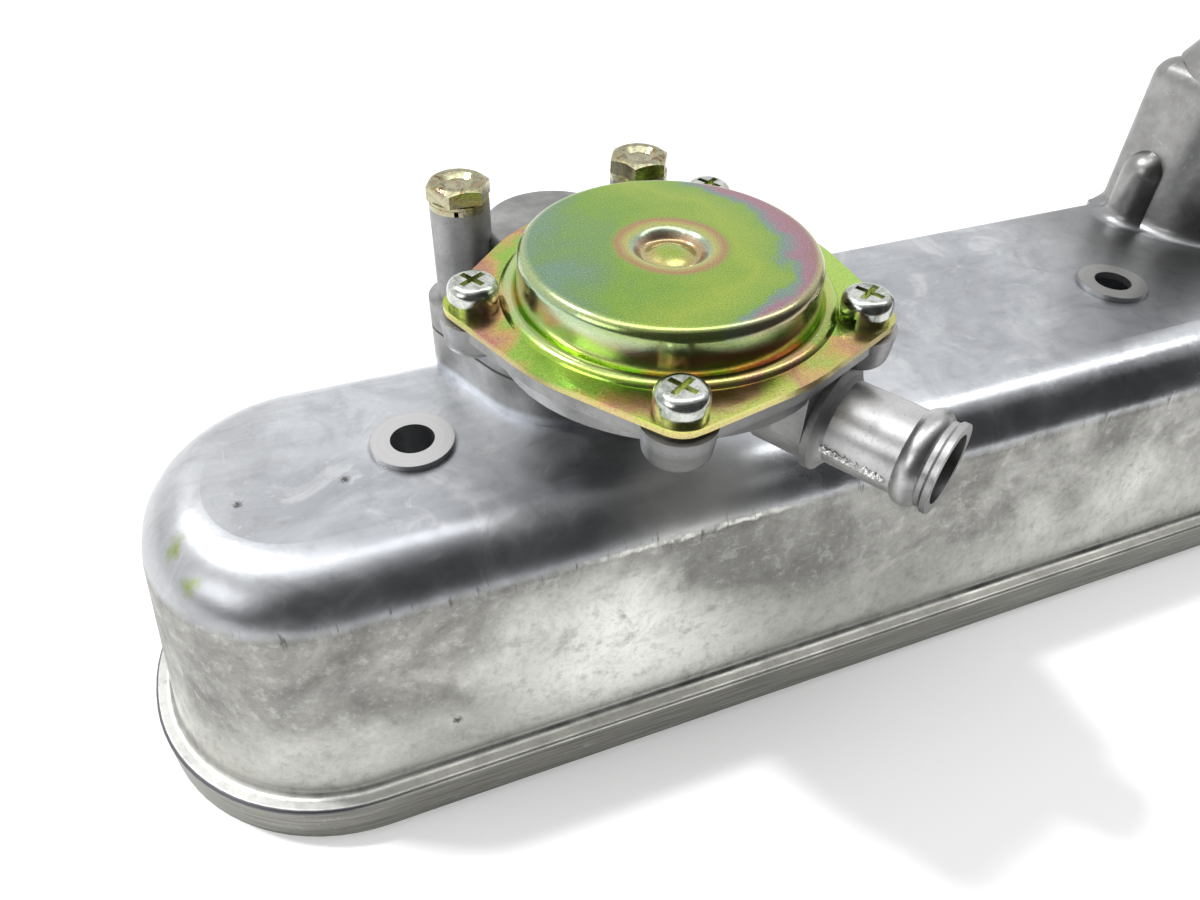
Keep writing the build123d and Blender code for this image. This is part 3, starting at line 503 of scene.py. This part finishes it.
def plated(name, low, high, rough=0.25, scale=150):
    """Plated steel with a slight drift of colour, dulled in patches."""
    f = Finish(name)
    drift = f.noise(scale, 3, 0.5)
    fine = f.noise(2500, 2, 0.5)
    dulled = f.noise(320, 4, 0.65)
    colour = f.mix(f.span(drift, 0.35, 0.65), low, high)
    colour = f.mix(f.span(dulled, 0.56, 0.72, 0, 0.45), colour, [0.45 * part for part in low])
    relief = f.bump(dulled, 0.10, 0.06 * MM)
    relief = f.bump(fine, 0.08, 0.04 * MM, relief)
    return f.surface(colour, f.ramp(drift, (0.3, rough - 0.05), (0.7, rough + 0.08)), normal=relief)


def bolt_gold():
    """Gold passivated zinc on the bolts, with brown-red and grey-green patches."""
    f = Finish("bolt_gold")
    drift = f.noise(260, 4, 0.6, distortion=1.0)
    speckle = f.noise(1400, 3, 0.6)
    colour = f.ramp(
        drift,
        (0.36, (0.13, 0.06, 0.045)),
        (0.43, (0.30, 0.25, 0.12)),
        (0.52, (0.42, 0.40, 0.24)),
        (0.58, (0.22, 0.25, 0.17)),
        (0.66, (0.40, 0.26, 0.15)),
    )
    colour = f.mix(f.span(speckle, 0.56, 0.7, 0, 0.5), colour, (0.10, 0.08, 0.04))
    # painted sheen: the sides paler than the top
    side = f.span(f.axis("Z"), BOLT_TOP - 0.1 * MM, BOLT_TOP - 0.9 * MM, 0, 0.35)
    colour = f.mix(side, colour, (0.62, 0.60, 0.44))
    relief = f.bump(drift, 0.35, 0.35 * MM)
    relief = f.bump(speckle, 0.15, 0.06 * MM, relief)
    return f.surface(colour, f.ramp(drift, (0.3, 0.16), (0.7, 0.30)), normal=relief)


def screw_zinc():
    """Clear passivated zinc on the screws, with a painted greenish gold reflection in the cross recess."""
    f = Finish("screw_zinc")
    drift = f.noise(300, 4, 0.6, distortion=0.6)
    speckle = f.noise(1600, 3, 0.6)
    colour = f.mix(f.span(drift, 0.36, 0.62), (0.30, 0.33, 0.29), (0.66, 0.68, 0.64))
    colour = f.mix(f.span(speckle, 0.56, 0.7, 0, 0.5), colour, (0.14, 0.15, 0.12))
    nearest = None
    for screw_x, screw_y in SCREW_SPOTS:
        distance = f.radius_from(screw_x, screw_y)
        nearest = distance if nearest is None else f.maths("MINIMUM", nearest, distance)
    sunk = f.span(f.axis("Z"), SCREW_TOP - 0.2 * MM, SCREW_TOP - 0.9 * MM)
    # painted reflection: the cross recess made a bright greenish gold
    recess_glint = f.both(f.span(nearest, 3.4 * MM, 3.1 * MM), sunk)
    colour = f.mix(recess_glint, colour, (0.72, 0.76, 0.46))
    relief = f.bump(drift, 0.12, 0.12 * MM)
    relief = f.bump(speckle, 0.12, 0.05 * MM, relief)
    return f.surface(colour, f.ramp(drift, (0.3, 0.14), (0.7, 0.26)), normal=relief)


def matt(name, low, high, rough, scale=400, lift=0.1):
    """A non-metal with a fine moulded or pressed grain."""
    f = Finish(name)
    grain = f.noise(scale, 4, 0.6)
    relief = f.bump(grain, 0.3, lift * MM)
    roughness = f.ramp(grain, (0.3, rough - 0.08), (0.7, rough + 0.08))
    return f.surface(f.mix(grain, low, high), roughness, metallic=0.0, normal=relief)


def dress_nodes():
    """Gives each CAD node its finish."""
    rubber = matt("nitrile_rubber", (0.012, 0.012, 0.012), (0.03, 0.03, 0.03), 0.6)
    gold = bolt_gold()
    clear = screw_zinc()
    finishes = {
        "rocker_cover": worn_cover_casting(),
        "breather_body": fine_breather_casting(),
        "breather_cap": yellow_zinc(),
        "cover_gasket": matt("dusty_gasket", (0.11, 0.11, 0.095), (0.20, 0.20, 0.175), 0.55),
        "diaphragm": rubber,
        "filler_seal": rubber,
        "breather_gasket": matt("gasket_paper", (0.05, 0.05, 0.045), (0.10, 0.10, 0.09), 0.8),
        "baffle_plate": plated("zinc_sheet", (0.5, 0.51, 0.52), (0.7, 0.71, 0.72), 0.3, 40),
        "baffle_screws": clear,
        "valve_plate": plated("valve_steel", (0.4, 0.4, 0.4), (0.55, 0.55, 0.55), 0.35),
        "diaphragm_spring": plated("spring_steel", (0.3, 0.3, 0.31), (0.45, 0.45, 0.46), 0.3),
        "filler_cap": matt("black_plastic", (0.015, 0.015, 0.016), (0.03, 0.03, 0.032), 0.45, 900, 0.05),
    }
    for number in range(1, 5):
        finishes[f"cap_screw_{number}"] = clear
        finishes[f"cap_lock_washer_{number}"] = clear
    for number in range(1, 3):
        finishes[f"breather_bolt_{number}"] = gold
        finishes[f"bolt_lock_washer_{number}"] = gold
    for name, finish in finishes.items():
        for place in nodes[name].material_slots:
            place.material = finish


# ---------------------------------------------------------------- the flash line along the spigot
def set_input(modifier, tree, name, value):
    """Sets a named input of a node tree on the modifier that runs it."""
    socket = next(item for item in tree.interface.items_tree if item.name == name and item.in_out == "INPUT")
    modifier[socket.identifier] = value


def flash_tree(finish):
    """Small uneven burrs in a row between two points, where the casting mould's halves met."""
    tree = bpy.data.node_groups.new("flash_line", "GeometryNodeTree")
    face = tree.interface
    face.new_socket(name="Start", in_out="INPUT", socket_type="NodeSocketVector")
    face.new_socket(name="End", in_out="INPUT", socket_type="NodeSocketVector")
    face.new_socket(name="Burrs", in_out="INPUT", socket_type="NodeSocketInt")
    face.new_socket(name="Burr height", in_out="INPUT", socket_type="NodeSocketFloat")
    face.new_socket(name="Seed", in_out="INPUT", socket_type="NodeSocketInt")
    face.new_socket(name="Geometry", in_out="OUTPUT", socket_type="NodeSocketGeometry")
    link = tree.links.new
    given = tree.nodes.new("NodeGroupInput").outputs
    row = tree.nodes.new("GeometryNodeMeshLine")
    row.mode = "END_POINTS"
    link(given["Start"], row.inputs["Start Location"])
    link(given["End"], row.inputs["Offset"])
    link(given["Burrs"], row.inputs["Count"])
    burr = tree.nodes.new("GeometryNodeMeshCone")
    burr.inputs["Vertices"].default_value = 5
    burr.inputs["Radius Top"].default_value = 0.0
    link(given["Burr height"], burr.inputs["Depth"])
    link(given["Burr height"], burr.inputs["Radius Bottom"])
    turn = tree.nodes.new("FunctionNodeRandomValue")
    turn.data_type = "FLOAT_VECTOR"
    turn.inputs[0].default_value = (-1.2, -1.2, 0)
    turn.inputs[1].default_value = (1.2, 1.2, 6.28)
    size = tree.nodes.new("FunctionNodeRandomValue")
    size.data_type = "FLOAT_VECTOR"
    size.inputs[0].default_value = (0.35, 0.35, 0.5)
    size.inputs[1].default_value = (1.0, 1.0, 1.6)
    link(given["Seed"], turn.inputs["Seed"])
    link(given["Seed"], size.inputs["Seed"])
    spread = tree.nodes.new("GeometryNodeInstanceOnPoints")
    link(row.outputs["Mesh"], spread.inputs["Points"])
    link(burr.outputs["Mesh"], spread.inputs["Instance"])
    link(turn.outputs[0], spread.inputs["Rotation"])
    link(size.outputs[0], spread.inputs["Scale"])
    solid = tree.nodes.new("GeometryNodeRealizeInstances")
    link(spread.outputs["Instances"], solid.inputs["Geometry"])
    painted = tree.nodes.new("GeometryNodeSetMaterial")
    painted.inputs["Material"].default_value = finish
    link(solid.outputs["Geometry"], painted.inputs["Geometry"])
    link(painted.outputs["Geometry"], tree.nodes.new("NodeGroupOutput").inputs["Geometry"])
    return tree


def baked(name, tree, **values):
    """A plain mesh object made by a node tree from the named values."""
    maker = bpy.data.objects.new(name + "_maker", bpy.data.meshes.new(name + "_maker"))
    bpy.context.scene.collection.objects.link(maker)
    modifier = maker.modifiers.new("form", "NODES")
    modifier.node_group = tree
    for key, value in values.items():
        set_input(modifier, tree, key.replace("_", " "), value)
    evaluated = maker.evaluated_get(bpy.context.evaluated_depsgraph_get())
    mesh = bpy.data.meshes.new_from_object(evaluated)
    bpy.data.objects.remove(maker)
    piece = bpy.data.objects.new(name, mesh)
    bpy.context.scene.collection.objects.link(piece)
    return piece


def spigot_point(station, height):
    """A point on the spigot's left side, a station along its axis from the cap's centre."""
    heading = math.radians(SPIGOT_HEADING)
    ahead = Vector((math.cos(heading), math.sin(heading), 0))
    across = Vector((-math.sin(heading), math.cos(heading), 0))
    below = SPIGOT_Z - height
    reach = math.sqrt(SPIGOT_RADIUS**2 - below**2)
    centre = Vector((*CAP_CENTRE, height)) + SPIGOT_OFFSET * across
    return centre + station * ahead - (reach - 0.1 * MM) * across


def make_flash_line():
    """The ragged bright seam along the spigot's left side."""
    finish = plated("fresh_cut_flash", (0.88, 0.88, 0.87), (0.98, 0.98, 0.97), 0.34, 900)
    line = baked(
        "spigot_flash",
        flash_tree(finish),
        Start=spigot_point(FLASH_START, FLASH_START_Z),
        End=spigot_point(FLASH_END, FLASH_END_Z),
        Burrs=FLASH_BURRS,
        Burr_height=FLASH_HEIGHT,
        Seed=FLASH_SEED,
    )
    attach(line, "cover")


# ---------------------------------------------------------------- soft pieces under the cap
def follow_valve(node, name):
    """A copy of a springy CAD piece under a new name, in place, with the CAD piece hidden."""
    source = nodes[node]
    mesh = source.data.copy()
    mesh.transform(source.matrix_world)
    mesh.materials.clear()
    mesh.materials.append(source.material_slots[0].material)
    piece = bpy.data.objects.new(name, mesh)
    bpy.context.scene.collection.objects.link(piece)
    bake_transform(piece)
    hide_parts(node)


# ---------------------------------------------------------------- studio
def make_floor():
    """A plain white floor: it keeps its shadow, and reads as white to the eye and in the metal."""
    size = FLOOR_HALF
    mesh = bpy.data.meshes.new("studio_floor")
    signs = ((-1, -1), (1, -1), (1, 1), (-1, 1))
    corners = [(x * size, y * size, FLOOR_Z) for x, y in signs]
    mesh.from_pydata(corners, [], [(0, 1, 2, 3)])
    floor = bpy.data.objects.new("studio_floor", mesh)
    bpy.context.scene.collection.objects.link(floor)
    paint = Finish("floor_paint")
    ray = paint.add("ShaderNodeLightPath").outputs
    seen = paint.maths("MAXIMUM", ray["Is Camera Ray"], ray["Is Transmission Ray"])
    seen = paint.maths("MAXIMUM", seen, ray["Is Glossy Ray"])
    # in the metal, the floor ends a little way in front, where the studio is dark
    beyond = paint.span(paint.axis("Y"), DARK_FRONT_Y + 0.03, DARK_FRONT_Y - 0.03)
    beyond = paint.both(beyond, ray["Is Glossy Ray"])
    pale = paint.mix(beyond, (0.90, 0.90, 0.90), (0.05, 0.05, 0.05))
    lift = paint.both(seen, paint.span(beyond, 0, 1, FLOOR_LIFT, 0))
    paint.feed(paint.shader.inputs["Emission Strength"], lift)
    paint.shader.inputs["Emission Color"].default_value = (1, 1, 1, 1)
    paint.shader.inputs["Specular IOR Level"].default_value = 0.1
    mesh.materials.append(paint.surface(pale, 0.9, metallic=0.0))


def softbox(name, place, aim, width, height, power):
    """A rectangular lamp at a place, turned to face its aim."""
    light = bpy.data.lights.new(name, "AREA")
    light.shape = "RECTANGLE"
    light.size = width
    light.size_y = height
    light.energy = power
    lamp = bpy.data.objects.new(name, light)
    lamp.location = place
    lamp.rotation_euler = (Vector(aim) - Vector(place)).to_track_quat("-Z", "Y").to_euler()
    bpy.context.scene.collection.objects.link(lamp)
    return lamp


def light_studio():
    """One small key lamp for the shadow, two soft boxes for the metal, and air brighter behind."""
    softbox("key_lamp", KEY_AIM + KEY_HEADING * KEY_REACH, KEY_AIM, 0.20, 0.20, 46)
    softbox("overhead_strip", (0.45, 0.0, 1.3), (0.45, 0, 0), 2.4, 0.36, 6.5)
    softbox("left_box", (-0.95, -0.25, 0.42), (-0.06, 0, 0), 0.5, 0.4, 1.6)
    world = bpy.data.worlds.new("studio_air")
    bpy.context.scene.world = world
    world.use_nodes = True
    tree = world.node_tree
    air = tree.nodes["Background"]
    ray = tree.nodes.new("ShaderNodeLightPath")
    heading = tree.nodes.new("ShaderNodeTexCoord")
    facing = tree.nodes.new("ShaderNodeVectorMath")
    facing.operation = "DOT_PRODUCT"
    tree.links.new(heading.outputs["Generated"], facing.inputs[0])
    facing.inputs[1].default_value = Vector(BRIGHT_SIDE).normalized()
    band = tree.nodes.new("ShaderNodeMapRange")
    tree.links.new(facing.outputs["Value"], band.inputs["Value"])
    band.inputs["From Min"].default_value, band.inputs["From Max"].default_value = AIR_DUSK
    band.inputs["To Min"].default_value = AIR_DARKEST
    band.inputs["To Max"].default_value = 1.0
    brightest = tree.nodes.new("ShaderNodeMath")
    brightest.operation = "MAXIMUM"
    tree.links.new(band.outputs["Result"], brightest.inputs[0])
    tree.links.new(ray.outputs["Is Camera Ray"], brightest.inputs[1])
    tree.links.new(brightest.outputs["Value"], air.inputs["Strength"])
    air.inputs["Color"].default_value = (1, 1, 1, 1)


def set_camera():
    """The main camera, from its place, heading, tilt and roll."""
    yaw = math.radians(CAMERA_YAW)
    pitch = math.radians(CAMERA_PITCH)
    roll = math.radians(CAMERA_ROLL)
    ahead = Vector((math.sin(yaw) * math.cos(pitch), math.cos(yaw) * math.cos(pitch), -math.sin(pitch)))
    level = Vector((math.cos(yaw), -math.sin(yaw), 0))
    over = level.cross(ahead)
    right = math.cos(roll) * level + math.sin(roll) * over
    up = math.cos(roll) * over - math.sin(roll) * level
    lens = bpy.data.cameras.new("main_camera")
    lens.sensor_fit = "HORIZONTAL"
    lens.sensor_width = SENSOR_WIDTH
    lens.lens = CAMERA_LENS
    lens.clip_start = 0.01
    camera = bpy.data.objects.new("main_camera", lens)
    turn = Matrix((right, up, -ahead)).transposed()
    camera.matrix_world = Matrix.Translation(CAMERA_PLACE) @ turn.to_4x4()
    bpy.context.scene.collection.objects.link(camera)
    bpy.context.scene.camera = camera


set_camera()
dress_nodes()
make_flash_line()
follow_valve("diaphragm_spring", "valve_coil_spring")
follow_valve("diaphragm", "rolling_diaphragm")
make_floor()
light_studio()
bpy.context.scene.view_settings.view_transform = "Standard"
